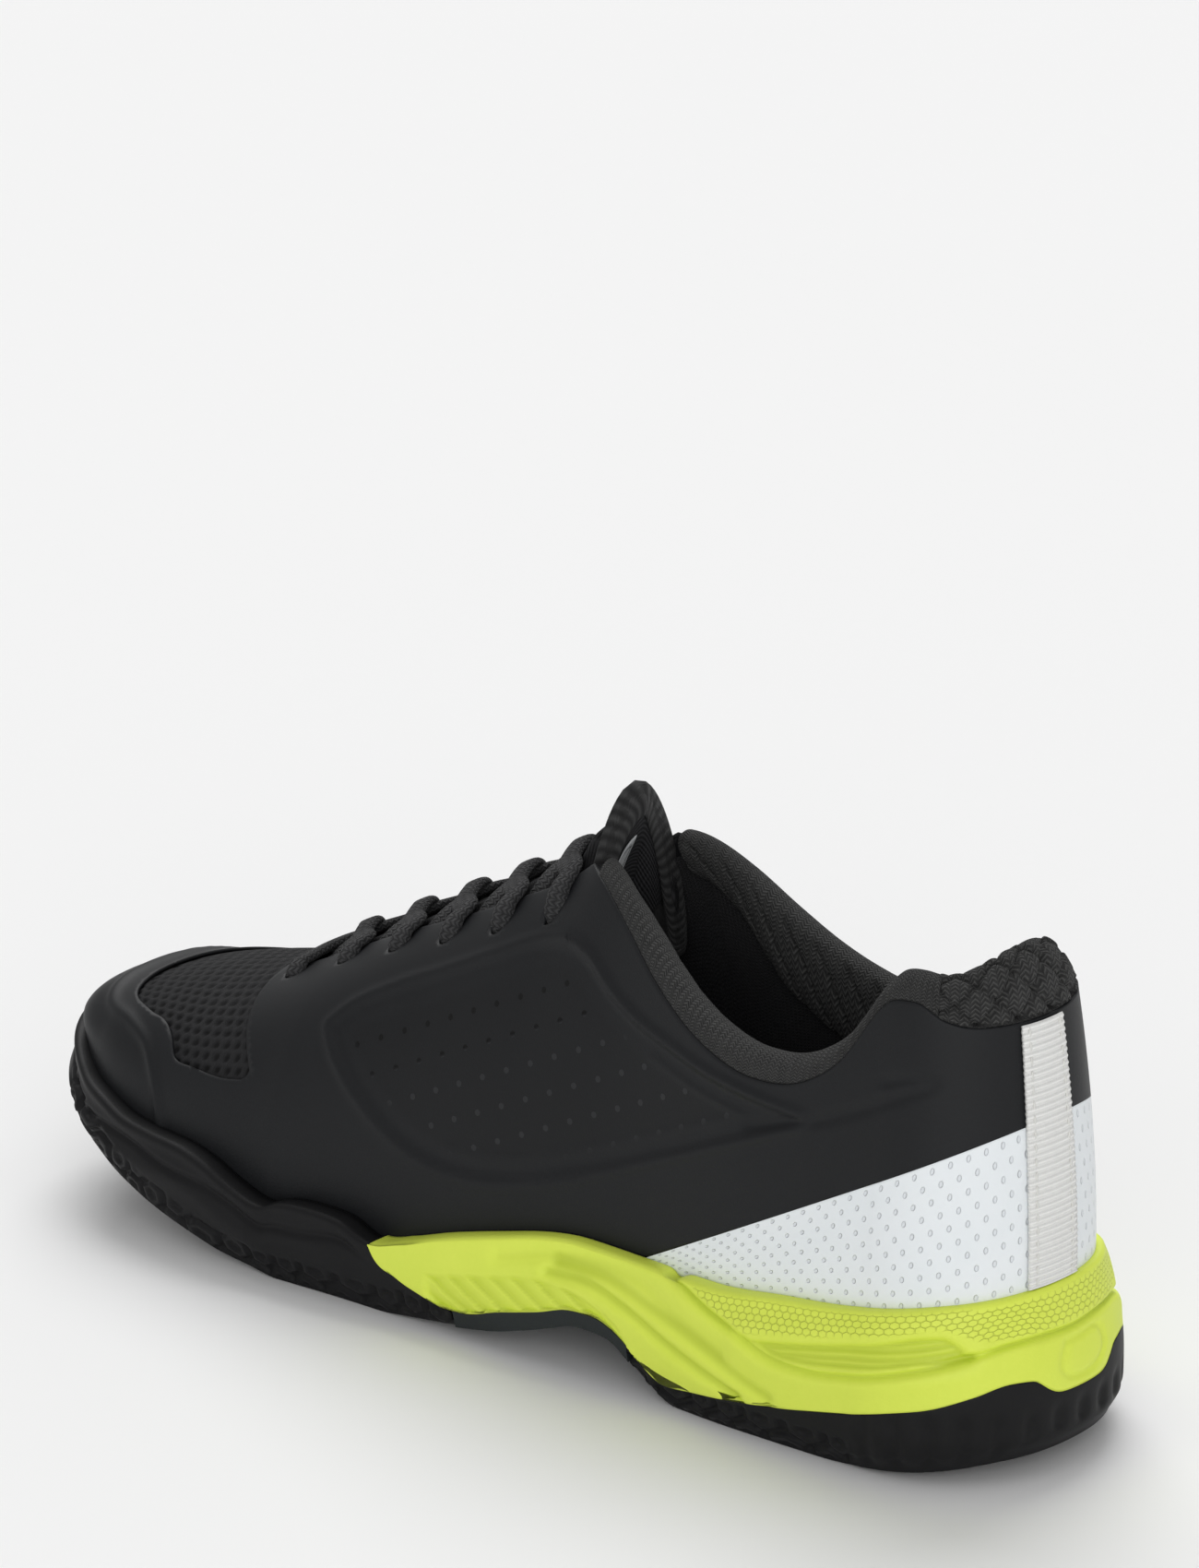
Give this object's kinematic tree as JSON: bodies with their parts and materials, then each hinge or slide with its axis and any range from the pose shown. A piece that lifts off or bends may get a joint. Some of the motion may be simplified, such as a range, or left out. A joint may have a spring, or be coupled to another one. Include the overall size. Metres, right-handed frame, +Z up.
{
  "type": "court shoe",
  "caption": "Low-cut lace-up court shoe with padded collar, tongue, wedge foam heel, wrapped rubber forefoot and a white heel panel.",
  "frame": {"origin": "on the ground, in the middle of the footprint", "axes": "+X from heel to toe, +Y to the medial side, +Z up"},
  "size_m": [0.3013, 0.1073, 0.1248],
  "materials": {
    "film": "matte",
    "white_film": "satin",
    "lime_foam": "matte",
    "black_rubber": "matte",
    "shank_plastic": "satin",
    "mesh": "matte",
    "knit": "matte",
    "inner_textile": "matte",
    "soft_foam": "matte",
    "stiffener": "matte",
    "tape": "matte",
    "board": "matte",
    "lace": "matte",
    "label": "satin"
  },
  "bodies": {
    "shoe": {"midsole_foam": "lime_foam", "heel_outsole": "black_rubber", "arch_shank": "shank_plastic", "forefoot_outsole": "black_rubber", "forefoot_sidewall": "black_rubber", "strobel_board": "board", "toe_wrap": "film", "vamp_mesh": "mesh", "vamp_lining": "inner_textile", "toe_puff": "stiffener", "heel_counter": "stiffener", "heel_tape": "tape", "heel_tab": "knit", "heel_tab_pad": "soft_foam", "shoelace": "lace", "heel_panel_medial": "white_film", "quarter_film_medial": "film", "quarter_textile_medial": "inner_textile", "quarter_foam_medial": "soft_foam", "eyestay_medial": "stiffener", "quarter_lining_medial": "inner_textile", "collar_cover_medial": "knit", "collar_pad_medial": "soft_foam", "heel_panel_lateral": "white_film", "quarter_film_lateral": "film", "quarter_textile_lateral": "inner_textile", "quarter_foam_lateral": "soft_foam", "eyestay_lateral": "stiffener", "quarter_lining_lateral": "inner_textile", "collar_cover_lateral": "knit", "collar_pad_lateral": "soft_foam"},
    "tongue": {"tongue_mesh": "mesh", "tongue_pad": "soft_foam", "tongue_lining": "inner_textile", "tongue_binding": "knit", "size_label": "label"},
    "sockliner": {"sockliner": "soft_foam"}
  },
  "joints": [
    {"name": "tongue_tilt", "type": "hinge", "parent": "shoe", "child": "tongue", "pos_m": [0.096, 0, 0.054], "axis": [0, 1, 0], "range_deg": [-5, 0]},
    {"name": "sockliner_lift", "type": "hinge", "parent": "shoe", "child": "sockliner", "pos_m": [0.138, 0, 0.037], "axis": [0, 1, 0], "range_deg": [0, 3]}
  ]
}
